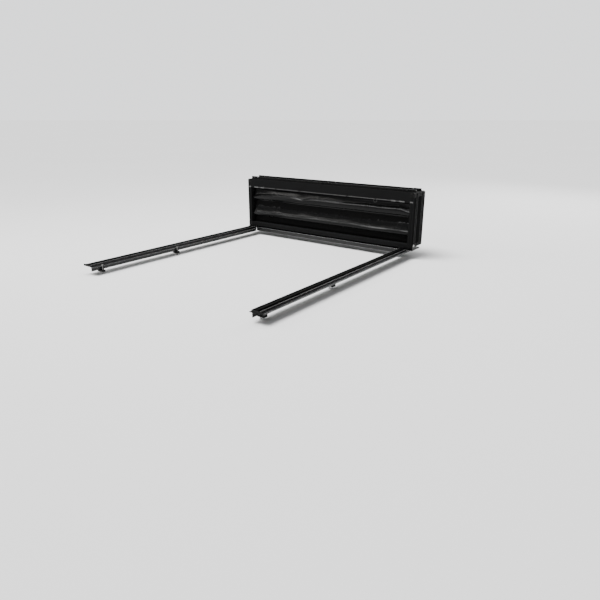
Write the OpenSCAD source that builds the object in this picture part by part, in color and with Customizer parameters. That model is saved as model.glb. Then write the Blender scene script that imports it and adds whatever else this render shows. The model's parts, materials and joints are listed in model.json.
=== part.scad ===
// Folding tonneau cover for a pickup bed, drawn folded and upright against the cab.
// Four vinyl-covered panels are hinged end to end and fold like a concertina. The first one pivots
// on two brackets at the cab end of a pair of side rails, which screw clamps hold to the bed.
// +X is to the right, +Y towards the cab and +Z up. The origin is the middle of the cab rail's
// seat, on the plane of the bed's top. Every size is in millimetres.
//
// A panel is drawn lying flat: its front edge is at y = 0, its rear edge at y = -panel_l, its
// underside at z = 0. in_panel() then stands it in its place in the folded stack.

/* [Panels] */
// How far the panels reach past the rails' outer edges
panel_over = 10; // [4:1:24]
// Length of one panel, front edge to rear edge
panel_l = 466; // [390:2:580]
// Depth of the aluminium frame under the vinyl
frame_t = 43; // [34:1:54]
// Thickness allowed for the vinyl skin and its backing
skin_t = 2; // [1:0.5:4]
// Width of the side bars
side_bar_w = 40; // [32:1:54]
// Width of the end bars
end_bar_w = 36; // [32:1:46]
// Wall of the hollow bars
bar_wall = 2.4; // [1.8:0.2:3.6]
// Reach of the wide band at the end of a panel that folds over the top
band_w = 84; // [66:1:110]
// Thickness of the band and of its lip
band_t = 3; // [2:0.5:4]
// Height of the band's lip
lip_h = 11; // [8:1:16]
// Radius of a panel's outer corners
corner_r = 14; // [6:1:22]
// Width of the cross bows
bow_w = 16; // [10:1:22]
// Thickness of the cross bows
bow_t = 8; // [6:1:9]
// Height of the cross bows above the panel's underside
bow_rise = 22; // [18:1:26]
// Distance of the first bow from the panel's front edge
bow_1 = 122; // [90:1:150]
// Distance of the second bow from the panel's front edge
bow_2 = 284; // [200:1:290]

/* [Retainer] */
// Width of the retainer along the first panel's band
retainer_w = 6; // [4:0.5:10]
// Thickness of the retainer
retainer_t = 2; // [1:0.5:2.5]
// Distance of the inner clips from the middle
clip_inner = 262; // [120:2:300]
// Distance of the outer clips from the middle
clip_outer = 550; // [400:2:600]

/* [Folding] */
// Space between two folded panels
fold_gap = 8; // [7:0.5:14]
// Space between the ends of two panels whose hinge is on the top side, when flat
crest_gap = 36; // [24:1:50]
// Space between the ends of two panels whose hinge is on the underside, when flat
keel_gap = 14; // [12:1:15]
// Height of the upright panels' lower edge above the bed
stack_base = 20; // [20:1:28]
// Distance of the first panel's underside from the origin when it stands upright
stack_set = 80; // [74:1:100]
// Height of the closed panels' underside above the bed
closed_h = 24; // [22:1:30]

/* [Pivot] */
// Radius of the pivot pins
pivot_r = 6; // [4:0.5:8]
// Height of the pivot above the first panel's underside
pivot_up = 21; // [18:1:26]
// Thickness of the pivot brackets
bracket_t = 6; // [4:0.5:9]
// Gap between the first panel and each bracket
bracket_gap = 3; // [1.5:0.5:6]
// Depth of the pivot sockets in the first panel
socket_d = 22; // [14:1:28]

/* [Hinges] */
// Width of one hinge
hinge_w = 72; // [54:1:90]
// Thickness of the hinge leaves
leaf_t = 2.5; // [1.5:0.5:3]
// Length of a leaf on its panel
leaf_l = 30; // [20:1:34]
// Radius of the hinge knuckles
knuckle_r = 5; // [4:0.5:5]
// Radius of the hinge pins
hinge_pin_r = 2.5; // [1.5:0.5:3]
// Distance of the outer top-side hinges' middles from the panels' sides
crest_inset = 50; // [46:1:200]
// Distance of the outer underside hinges' middles from the rails' shelves
keel_inset = 51; // [46:1:200]

/* [Side rails] */
// Clear width of the bed, between the two rails' inner webs
bed_w = 1616; // [1300:4:1960]
// Space between the rails' end caps and the closed cover's tail seal
tail_space = 4; // [3:1:12]
// Thickness of the rails' end caps
cap_t = 4; // [3:0.5:8]
// Width of a rail on the bed's top, its web included
rail_w = 92; // [78:1:100]
// Thickness of the rail's flange
flange_t = 3; // [2:0.5:4]
// Thickness of the rail's inner web
web_t = 4; // [3:0.5:5]
// Depth of the rail's inner web below the bed's top
web_d = 34; // [28:1:46]
// Height of the two ridges above the bed's top
ridge_h = 18; // [14:1:20]
// Width of the shelf inside the bed
shelf_w = 22; // [20:1:26]
// Thickness of the shelf
shelf_t = 4; // [3:0.5:6]
// Distance of the seal's middle from the inner web's inner face
seal_set = 33; // [24:1:40]
// Distance of the outer ridge from the inner web's inner face
ridge_set = 61; // [54:1:68]
// Outer radius of the bulb seal that the panels close on
bulb_r = 8; // [6:0.5:8]
// Wall of the bulb seal
bulb_wall = 2; // [1.5:0.5:3]

/* [Cab rail] */
// Length of the cab rail's plate, along the bed
cab_plate_l = 151; // [140:1:170]
// Thickness of the cab rail's plate
cab_plate_t = 3; // [2:0.5:3]
// Depth of the cab rail's web inside the bed
cab_web_d = 30; // [20:1:44]

/* [Clamps] */
// Distance of the middle clamps from the origin
clamp_mid = 1150; // [900:10:1250]
// Distance of the rear clamps from the rails' rear ends
clamp_inset = 86; // [60:2:200]
// Radius of the clamp bolts
bolt_r = 4; // [3:0.5:5]
// Width of a clamp jaw, along the rail
jaw_w = 34; // [24:1:46]
// Height of a clamped bed flange under the rail
grip_h = 36; // [34:1:46]
// Travel of a jaw
jaw_travel = 12; // [8:1:20]

/* [Latches] */
// Distance of the latch pivots from the rails' inner webs
latch_reach = 66; // [62:1:70]
// Thickness of a latch lever
lever_t = 12; // [8:1:16]
// Radius of the latch pins
latch_pin_r = 4; // [3:0.5:5]
// Length of the latch's finger grip
grip_l = 46; // [36:1:56]

/* [Hidden] */
$fn = 64;
// Clearance all round a pin that turns in its bore
play = 0.05;
// Space between two pieces that pass or meet without a fit
near = 0.3;

rail_x = bed_w / 2;
half_w = rail_x + rail_w + panel_over;
panel_w = 2 * half_w;
panel_t = frame_t + skin_t;
stack_top = stack_base + panel_l;
inner_w = half_w - side_bar_w;
pivot_y = -stack_set + pivot_up;
pivot_z = closed_h + pivot_up;
bracket_x = half_w + bracket_gap;
rail_start = -stack_set - 10;
closed_front = pivot_y + pivot_z - stack_base;
closed_rear = closed_front - 4 * panel_l - 2 * crest_gap - keel_gap;
rail_l = rail_start - closed_rear - tail_space - cap_t;
clamp_rear = rail_l - rail_start - clamp_inset;
rail_front = -30;
bolt_x = rail_x - shelf_w / 2;
latch_x = rail_x - latch_reach;
cab_rear = -stack_set - 5;
crest_axis = panel_t + fold_gap / 2;
keel_axis = -fold_gap / 2;
socket_y = -(pivot_z - stack_base);
clamp_places = [for (side = [-1, 1], y = [clamp_mid, clamp_rear]) [side, y]];
clamp_names = ["left_mid", "left_rear", "right_mid", "right_rear"];
sides = ["left", "right"];
PANEL_PIECES = ["side_bar_left", "side_bar_right", "front_bar", "rear_bar", "bows", "corners", "skin"];
HINGE_PIECES = ["front_leaves", "rear_leaves", "pins"];

// The underside of a panel in the folded stack: panels 1 and 3 face the bed, 2 and 4 the cab
function underside_y(p) = -stack_set + 2 * floor(p / 2) * panel_t + (p - 1) * fold_gap;

// The second and last folds are over the top side, the middle one over the underside
function is_crest(fold) = fold % 2 == 1;
function fold_space(fold) = is_crest(fold) ? crest_gap : keel_gap;

// The reach of the bar at the rear end of a panel, with its band where it has one
function band_reach(p) = p % 2 == 1 ? band_w : end_bar_w;

// The upper point where a line through p touches the circle of radius r about c
function touch_point(c, r, p) =
    let (d = p - c, a = atan2(d.y, d.x) + acos(r / norm(d))) c + r * [cos(a), sin(a)];

// ---------------------------------------------------------------- helpers

// Stands a flat panel's piece in its place in the folded stack
module in_panel(p) {
    up = p % 2 == 1;
    translate([0, underside_y(p), up ? stack_base : stack_top])
        rotate([up ? -90 : 90, 0, 0]) children();
}

// Draws a right-hand piece on the side asked for
module on_side(side) {
    mirror([side < 0 ? 1 : 0, 0, 0]) children();
}

// Extrudes an X-Z outline from y_front towards the tail
module along_bed(y_front, length) {
    translate([0, y_front, 0]) rotate([90, 0, 0]) linear_extrude(length) children();
}

// Extrudes a Y-Z outline from x_start to the right
module across_bed(x_start, length) {
    translate([x_start, 0, 0]) rotate([90, 0, 90]) linear_extrude(length) children();
}

// A rod along X, from x_start to the right
module rod_x(x_start, length, r) {
    translate([x_start, 0, 0]) rotate([0, 90, 0]) cylinder(h = length, r = r);
}

// A rod along Y, centred on y = 0
module rod_y(length, r) {
    rotate([90, 0, 0]) cylinder(h = length, r = r, center = true);
}

module hollow_rect(w, h, wall) {
    difference() {
        square([w, h]);
        translate([wall, wall]) square([w - 2 * wall, h - 2 * wall]);
    }
}

// A flat bar's outline with round edges, centred
module stadium(w, t) {
    square([w - t, t], center = true);
    for (s = [-1, 1]) translate([s * (w - t) / 2, 0]) circle(r = t / 2);
}

// ---------------------------------------------------------------- side rails

// The rail's outline, with x = 0 at the inner web's inner face
module rail_outline() {
    edge_h = 8;
    lip_t = 2.5;
    ridge_step = 2;
    translate([0, -web_d]) square([web_t, web_d + ridge_h]);
    translate([-shelf_w, -shelf_t]) square([shelf_w, shelf_t]);
    translate([ridge_set, 0]) square([web_t, ridge_h - ridge_step]);
    translate([rail_w - web_t, 0]) square([web_t, edge_h]);
    for (x = [seal_set - bulb_r - lip_t, seal_set + bulb_r]) translate([x, 0]) square([lip_t, edge_h]);
    square([rail_w, flange_t]);
}

module side_rail(side) {
    color("dimgray") on_side(side) difference() {
        union() {
            translate([rail_x, 0, 0]) along_bed(rail_start, rail_l) rail_outline();
            translate([rail_x + web_t, rail_start, 0])
                cube([rail_w - web_t, rail_front - rail_start, flange_t]);
        }
        for (y = [clamp_mid, clamp_rear])
            translate([bolt_x, -y, -shelf_t - 1]) cylinder(h = shelf_t + 2, r = bolt_r + play);
    }
}

// A bulb seal on a foot that fills the rail's channel
module seal_outline() {
    top = closed_h - near;
    difference() {
        union() {
            translate([-bulb_r, flange_t]) square([2 * bulb_r, 4]);
            translate([-bulb_r / 2, flange_t]) square([bulb_r, top - bulb_r - flange_t]);
            translate([0, top - bulb_r]) circle(r = bulb_r);
        }
        translate([0, top - bulb_r]) circle(r = bulb_r - bulb_wall);
    }
}

module rail_seals() {
    inset = 3;
    color("black") for (side = [-1, 1]) on_side(side)
        translate([rail_x + seal_set, 0, 0])
            along_bed(rail_start - inset, rail_l - 2 * inset) seal_outline();
}

module rail_end_caps() {
    round_r = 4;
    color("black") for (side = [-1, 1]) on_side(side)
        translate([rail_x, 0, 0]) along_bed(rail_start - rail_l, cap_t) {
            square([rail_w, ridge_h - round_r]);
            translate([round_r, ridge_h - round_r]) square([ridge_set - round_r, round_r]);
            for (x = [round_r, ridge_set]) translate([x, ridge_h - round_r]) circle(r = round_r);
        }
}

// ---------------------------------------------------------------- cab rail and pivots

module cab_rail() {
    upstand_h = 8;
    plate_w = 2 * (bracket_x + bracket_t);
    web_w = bed_w - 4;
    color("dimgray") {
        across_bed(-plate_w / 2, plate_w) {
            translate([cab_rear, flange_t]) square([cab_plate_l, cab_plate_t]);
            translate([cab_rear + cab_plate_l - web_t, flange_t]) square([web_t, cab_plate_t + upstand_h]);
        }
        across_bed(-web_w / 2, web_w)
            translate([cab_rear, -cab_web_d]) square([web_t, cab_web_d + flange_t]);
    }
}

module cab_seal() {
    inset = 6;
    foam_l = cab_plate_l - web_t - 2 * inset;
    color("black") translate([2 - rail_x, cab_rear + web_t + inset, 0])
        cube([bed_w - 4, foam_l, flange_t]);
}

// A bracket's cheek, rising from its foot on the cab rail to the eye round the pivot
module bracket_outline() {
    eye = [pivot_y, pivot_z];
    eye_r = pivot_r + 7;
    base_z = flange_t + cab_plate_t;
    toe = [38, base_z + 8];
    polygon([[pivot_y - eye_r, base_z], [toe.x, base_z], toe, touch_point(eye, eye_r, toe),
             eye, [pivot_y - eye_r, pivot_z]]);
    translate(eye) circle(r = eye_r);
}

module pivot_brackets() {
    foot_t = 3;
    foot_w = 34;
    foot_l = 56;
    foot_z = flange_t + cab_plate_t;
    color("silver") for (side = [-1, 1]) on_side(side) difference() {
        union() {
            across_bed(bracket_x, bracket_t) bracket_outline();
            translate([bracket_x - foot_w, 38 - foot_l, foot_z]) cube([foot_w, foot_l, foot_t]);
        }
        translate([0, pivot_y, pivot_z]) rod_x(bracket_x - 1, bracket_t + 2, pivot_r);
    }
}

module pivot_pins() {
    head_t = 4;
    tip_x = half_w - socket_d + 1;
    color("silver") for (side = [-1, 1]) on_side(side) translate([0, pivot_y, pivot_z]) {
        rod_x(tip_x, bracket_x + bracket_t - tip_x, pivot_r);
        rod_x(bracket_x + bracket_t, head_t, pivot_r + 4);
    }
}

// ---------------------------------------------------------------- panels

module panel_side_bar(side) {
    seam_d = 1.5;
    seam_h = 5;
    color([0.06, 0.06, 0.06]) on_side(side) translate([inner_w, 0, 0])
        along_bed(-end_bar_w, panel_l - 2 * end_bar_w) difference() {
            hollow_rect(side_bar_w, frame_t, bar_wall);
            translate([side_bar_w - seam_d, frame_t / 2]) square([seam_d + 1, seam_h]);
            translate([side_bar_w / 2, -1]) square([seam_h, seam_d + 1]);
        }
}

// The plain end bar, with its outer face at y = 0 and its inside towards +Y
module end_bar() {
    color([0.07, 0.07, 0.07]) across_bed(-inner_w, 2 * inner_w) hollow_rect(end_bar_w, frame_t, bar_wall);
}

// The thin band that reaches in from an end bar, with its lip turned up
module band() {
    color([0.07, 0.07, 0.07]) across_bed(-inner_w, 2 * inner_w) {
        translate([end_bar_w - 1, 0]) square([band_w - end_bar_w + 1, band_t]);
        translate([band_w - band_t, 0]) square([band_t, lip_h]);
    }
}

module panel_front_bar() {
    translate([0, -end_bar_w, 0]) end_bar();
}

module panel_rear_bar(p) {
    translate([0, -panel_l, 0]) {
        end_bar();
        if (band_reach(p) > end_bar_w) band();
    }
}

module panel_bows() {
    color("silver") for (y = [bow_1, bow_2])
        translate([0, -y, bow_rise + bow_t / 2]) across_bed(-inner_w, 2 * inner_w) stadium(bow_w, bow_t);
}

// A block that fills a panel's corner, with its outer corner at [0, 0] and its body towards -X, -Y
module corner_block() {
    linear_extrude(frame_t) {
        translate([-side_bar_w, -end_bar_w]) square([side_bar_w - corner_r, end_bar_w]);
        translate([-side_bar_w, -end_bar_w]) square([side_bar_w, end_bar_w - corner_r]);
        translate([-corner_r, -corner_r]) circle(r = corner_r);
    }
}

// The four corners, of which the first panel's front pair has the pivot sockets
module panel_corners(p) {
    color([0.05, 0.05, 0.05]) for (side = [-1, 1]) on_side(side) {
        difference() {
            translate([half_w, 0, 0]) corner_block();
            if (p == 1)
                translate([0, socket_y, pivot_up]) rod_x(half_w - socket_d, socket_d + 1, pivot_r + play);
        }
        translate([half_w, -panel_l, 0]) mirror([0, 1, 0]) corner_block();
    }
}

module panel_skin() {
    color([0.03, 0.03, 0.03]) translate([-half_w, -panel_l, frame_t]) cube([panel_w, panel_l, skin_t]);
}

// ---------------------------------------------------------------- first panel's retainer

// The retainer runs along the band, just outside its lip
function retainer_y() = -(panel_l - band_w + band_t + retainer_w / 2 + 1);

module panel_1_retainer() {
    end_inset = 50;
    length = 2 * (inner_w - end_inset);
    color("silver") in_panel(1) translate([-length / 2, retainer_y() - retainer_w / 2, -retainer_t])
        cube([length, retainer_w, retainer_t]);
}

module panel_1_clips() {
    clip = [14, retainer_w + 12, retainer_t + 2.5];
    color("black") in_panel(1) for (x = [-clip_outer, -clip_inner, clip_inner, clip_outer])
        translate([x, retainer_y(), 0]) difference() {
            translate([-clip.x / 2, -clip.y / 2, -clip.z]) cube(clip);
            translate([-clip.x, -retainer_w / 2, -retainer_t]) cube([2 * clip.x, retainer_w, clip.z]);
        }
}

// ---------------------------------------------------------------- hinges

// Puts a leaf, drawn with its axis on the X axis and its plate towards +Y, on its panel
module at_hinge(fold, rear) {
    space = fold_space(fold) / 2;
    in_panel(rear ? fold + 1 : fold)
        translate([0, rear ? space : -panel_l - space, is_crest(fold) ? crest_axis : keel_axis])
            mirror([0, rear ? 1 : 0, 0]) mirror([0, 0, is_crest(fold) ? 0 : 1]) children();
}

// The middles of a fold's three hinges; the underside ones stay inside the rails' shelves
function hinge_places(fold) =
    let (outer = is_crest(fold) ? half_w - crest_inset : rail_x - shelf_w - keel_inset) [-outer, 0, outer];

// One leaf: the front panel's has the two outer knuckles and holds the pin, the rear one's has the middle
module hinge_leaf(fold, rear) {
    knuckle_w = hinge_w / 3;
    starts = rear ? [-knuckle_w / 2] : [-hinge_w / 2, knuckle_w / 2];
    plate_y = knuckle_r + 1.5;
    plate_z = -fold_gap / 2;
    difference() {
        union() {
            translate([-hinge_w / 2, plate_y, plate_z])
                cube([hinge_w, fold_space(fold) / 2 + leaf_l - plate_y, leaf_t]);
            for (x = starts) {
                translate([x + near, 0, plate_z]) cube([knuckle_w - 2 * near, plate_y + 1, leaf_t]);
                rod_x(x + near, knuckle_w - 2 * near, knuckle_r);
            }
        }
        rod_x(-hinge_w, 2 * hinge_w, hinge_pin_r + (rear ? play : 0));
    }
}

module hinge_leaves(fold, rear) {
    color("gray") at_hinge(fold, rear) for (x = hinge_places(fold))
        translate([x, 0, 0]) hinge_leaf(fold, rear);
}

module hinge_pins(fold) {
    head_t = 1.5;
    color("silver") at_hinge(fold, false) for (x = hinge_places(fold)) translate([x, 0, 0]) {
        rod_x(-hinge_w / 2, hinge_w, hinge_pin_r);
        for (start = [-hinge_w / 2 + near - head_t, hinge_w / 2 - near])
            rod_x(start, head_t, hinge_pin_r + 1.2);
    }
}

// ---------------------------------------------------------------- tail seal and latches

// A strip on the last panel's rear face, with a bulb that closes on the tailgate
module tail_seal() {
    strip_t = 4;
    strip_h = 30;
    drop = 8;
    color("black") in_panel(4) translate([0, -panel_l, 0]) across_bed(-inner_w, 2 * inner_w)
        difference() {
            union() {
                translate([-strip_t, -drop]) square([strip_t, strip_h + drop]);
                translate([-bulb_r, -drop]) circle(r = bulb_r);
            }
            translate([-bulb_r, -drop]) circle(r = bulb_r - bulb_wall);
            translate([0, -drop - bulb_r]) square([2 * bulb_r, 2 * bulb_r]);
        }
}

latch_drop = 15;
latch_y = -(panel_l - end_bar_w / 2);

// A stirrup under the last panel's rear bar: a plate and two cheeks with the pin's bore
module latch_housings() {
    plate = [52, end_bar_w - 4, 3];
    cheek_t = 3;
    cheek_r = latch_pin_r + 8;
    slot = lever_t + 4 * near;
    color("dimgray") in_panel(4) for (side = [-1, 1]) on_side(side)
        translate([latch_x, latch_y, 0]) difference() {
            union() {
                translate([-plate.x / 2, -plate.y / 2, -plate.z]) cube(plate);
                for (y = [-slot / 2 - cheek_t, slot / 2]) {
                    translate([-cheek_r, y, -latch_drop]) cube([2 * cheek_r, cheek_t, latch_drop - plate.z]);
                    translate([0, y + cheek_t / 2, -latch_drop]) rod_y(cheek_t, cheek_r);
                }
            }
            translate([0, 0, -latch_drop]) rod_y(2 * slot, latch_pin_r);
        }
}

module latch_pins() {
    cheek_t = 3;
    length = lever_t + 4 * near + 2 * cheek_t;
    head_t = 2;
    color("silver") in_panel(4) for (side = [-1, 1]) on_side(side)
        translate([latch_x, latch_y, -latch_drop]) {
            rod_y(length, latch_pin_r);
            for (s = [-1, 1]) translate([0, s * (length + head_t) / 2, 0]) rod_y(head_t, latch_pin_r + 1.5);
        }
}

// A lever that hooks under the rail's shelf, with a finger grip that hangs into the bed
module latch_lever(side) {
    hub_r = latch_pin_r + 5;
    // Everything below is measured from the pin
    hook_z = -(closed_h - latch_drop) - shelf_t - 1.5;
    tip_x = rail_x - latch_x - 9;
    heel_x = rail_x - shelf_w - latch_x - 2;
    color("silver") in_panel(4) on_side(side) translate([latch_x, latch_y, -latch_drop]) difference() {
        translate([0, lever_t / 2, 0]) rotate([90, 0, 0]) linear_extrude(lever_t) {
            circle(r = hub_r);
            polygon([[0, hub_r - 1], [heel_x, hook_z], [tip_x - 3, hook_z], [tip_x, hook_z - 3],
                     [tip_x - 4, hook_z - 8], [heel_x - 6, hook_z - 8], [0, 1 - hub_r]]);
            polygon([[-hub_r + 2, 0], [hub_r - 2, 0], [5, -grip_l + 8], [-3, -grip_l], [-9, -grip_l],
                     [-3, -grip_l + 9]]);
        }
        rod_y(2 * lever_t, latch_pin_r + play);
    }
}

// ---------------------------------------------------------------- clamps

module clamp_bolt(place) {
    head_h = 5.5;
    head_r = bolt_r + 3.4;
    tip = web_d + jaw_travel + 22;
    color("silver") on_side(place[0]) translate([bolt_x, -place[1], 0]) {
        cylinder(h = head_h, r = head_r, $fn = 6);
        translate([0, 0, -tip]) cylinder(h = tip, r = bolt_r);
    }
}

// The jaw's outline, with x = 0 at the inner web's inner face: a body round the bolt, a fin that
// slides on the web, and an arm under the web with the tooth that grips the bed's flange
module jaw_outline() {
    body_t = 14;
    arm_t = 8;
    tooth_w = 10;
    reach = web_t + 28;
    web_gap = 4;
    top_z = -web_d - web_gap;
    base_z = top_z - body_t;
    fin_w = 3.5;
    fin_top = -shelf_t - 6;
    translate([1 - shelf_w, base_z]) square([shelf_w - 1, body_t]);
    translate([-1, base_z]) square([reach + 1, arm_t]);
    translate([reach - tooth_w, base_z]) square([tooth_w, -grip_h - base_z]);
    translate([-fin_w - near, top_z - 1]) square([fin_w, fin_top - top_z + 1]);
}

module clamp_jaw(place) {
    color("dimgray") on_side(place[0]) difference() {
        translate([rail_x, 0, 0]) along_bed(-place[1] + jaw_w / 2, jaw_w) jaw_outline();
        translate([bolt_x, -place[1], -2 * web_d]) cylinder(h = 2 * web_d, r = bolt_r + play);
    }
}

// ---------------------------------------------------------------- what is drawn

side_rail(-1);  // side_rail_left
side_rail(1);  // side_rail_right
rail_seals();
rail_end_caps();
cab_rail();
cab_seal();
pivot_brackets();
pivot_pins();
for (p = [1:4]) {
    in_panel(p) panel_side_bar(-1);
    in_panel(p) panel_side_bar(1);
    in_panel(p) panel_front_bar();
    in_panel(p) panel_rear_bar(p);
    in_panel(p) panel_bows();
    in_panel(p) panel_corners(p);
    in_panel(p) panel_skin();
}
for (f = [1:3]) {
    hinge_leaves(f, false);
    hinge_leaves(f, true);
    hinge_pins(f);
}
panel_1_retainer();
panel_1_clips();
tail_seal();
latch_housings();
latch_pins();
for (i = [0:1]) latch_lever(2 * i - 1);
for (i = [0:3]) {
    clamp_bolt(clamp_places[i]);
    clamp_jaw(clamp_places[i]);
}
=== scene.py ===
"""Soft folding tonneau cover, folded up and standing at the cab.

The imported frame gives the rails, panel frames, hinges and latches. This script dresses
them, hangs the vinyl and adds the small fittings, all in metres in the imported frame.
"""

from __future__ import annotations

import json
import logging
import math
from dataclasses import dataclass, field
from enum import Enum

import bmesh
import bpy
from mathutils import Matrix, Vector, noise

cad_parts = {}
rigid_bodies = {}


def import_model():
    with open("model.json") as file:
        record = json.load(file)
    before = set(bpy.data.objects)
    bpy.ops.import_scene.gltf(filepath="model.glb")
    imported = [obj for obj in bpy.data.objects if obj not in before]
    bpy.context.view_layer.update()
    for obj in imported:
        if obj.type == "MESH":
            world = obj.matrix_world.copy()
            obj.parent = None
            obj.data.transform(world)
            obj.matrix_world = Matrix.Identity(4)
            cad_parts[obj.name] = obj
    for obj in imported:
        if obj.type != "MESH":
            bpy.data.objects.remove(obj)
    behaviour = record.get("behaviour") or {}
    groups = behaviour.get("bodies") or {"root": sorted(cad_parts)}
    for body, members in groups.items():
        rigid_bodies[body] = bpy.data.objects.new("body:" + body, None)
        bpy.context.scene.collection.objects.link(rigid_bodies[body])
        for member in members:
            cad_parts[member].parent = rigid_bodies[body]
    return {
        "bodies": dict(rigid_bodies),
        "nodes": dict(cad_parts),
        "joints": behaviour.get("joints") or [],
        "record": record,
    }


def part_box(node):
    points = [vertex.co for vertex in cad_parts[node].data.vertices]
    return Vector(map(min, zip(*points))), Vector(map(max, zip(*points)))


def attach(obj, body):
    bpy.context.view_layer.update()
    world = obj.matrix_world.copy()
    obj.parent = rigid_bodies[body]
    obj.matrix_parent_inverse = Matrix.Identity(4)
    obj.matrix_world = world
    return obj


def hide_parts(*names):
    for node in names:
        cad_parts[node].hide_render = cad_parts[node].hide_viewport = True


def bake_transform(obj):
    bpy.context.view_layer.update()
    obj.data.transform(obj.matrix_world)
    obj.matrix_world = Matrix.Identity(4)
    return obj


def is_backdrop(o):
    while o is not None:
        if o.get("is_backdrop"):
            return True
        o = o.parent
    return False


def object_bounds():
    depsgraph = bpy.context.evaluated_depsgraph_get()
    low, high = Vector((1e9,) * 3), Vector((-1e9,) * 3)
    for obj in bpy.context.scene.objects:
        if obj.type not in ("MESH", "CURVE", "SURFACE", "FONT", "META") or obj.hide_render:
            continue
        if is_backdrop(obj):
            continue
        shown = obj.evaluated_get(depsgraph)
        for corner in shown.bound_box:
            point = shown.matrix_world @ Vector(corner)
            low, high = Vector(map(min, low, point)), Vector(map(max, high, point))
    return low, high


LOG = logging.getLogger("tonneau")
UV_CUT = "cut"
Colour = tuple[float, float, float, float]


def grey(level: float, warmth: float = 0.0) -> Colour:
    """Returns an opaque grey, a little warm or cool."""
    return (level * (1 + warmth), level, level * (1 - warmth), 1.0)


def eased(value: float) -> float:
    """Returns value kept from 0 to 1, with a soft start and end."""
    kept = max(0.0, min(1.0, value))
    return kept * kept * (3 - 2 * kept)


# ---------------------------------------------------------------- shader bench


class Signal:
    """An output socket of a finish, on which arithmetic adds Math nodes."""

    def __init__(self, tree: bpy.types.NodeTree, socket: bpy.types.NodeSocket) -> None:
        """Keeps the node tree and the socket."""
        self.tree = tree
        self.socket = socket

    def maths(self, operation: str, *values: Signal | float, clamp: bool = False) -> Signal:
        """Adds one Math node.

        Args:
            operation: The Math node's operation.
            values: What its inputs take, in order.
            clamp: Whether the result stays from 0 to 1.

        Returns:
            The node's output.
        """
        node = self.tree.nodes.new("ShaderNodeMath")
        node.operation = operation
        node.use_clamp = clamp
        for slot, value in zip(node.inputs, values):
            if isinstance(value, Signal):
                self.tree.links.new(value.socket, slot)
            else:
                slot.default_value = value
        return Signal(self.tree, node.outputs[0])

    def __add__(self, other: Signal | float) -> Signal:
        """Returns self + other."""
        return self.maths("ADD", self, other)

    def __radd__(self, other: float) -> Signal:
        """Returns other + self."""
        return self.maths("ADD", other, self)

    def __sub__(self, other: Signal | float) -> Signal:
        """Returns self - other."""
        return self.maths("SUBTRACT", self, other)

    def __rsub__(self, other: float) -> Signal:
        """Returns other - self."""
        return self.maths("SUBTRACT", other, self)

    def __mul__(self, other: Signal | float) -> Signal:
        """Returns self * other."""
        return self.maths("MULTIPLY", self, other)

    def __rmul__(self, other: float) -> Signal:
        """Returns other * self."""
        return self.maths("MULTIPLY", other, self)

    def __abs__(self) -> Signal:
        """Returns the size of self without its sign."""
        return self.maths("ABSOLUTE", self)

    def clamped(self) -> Signal:
        """Returns self kept from 0 to 1."""
        return self.maths("ADD", self, 0.0, clamp=True)

    def least(self, other: Signal | float) -> Signal:
        """Returns the smaller of self and other."""
        return self.maths("MINIMUM", self, other)

    def sine(self) -> Signal:
        """Returns the sine of self."""
        return self.maths("SINE", self)


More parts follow.
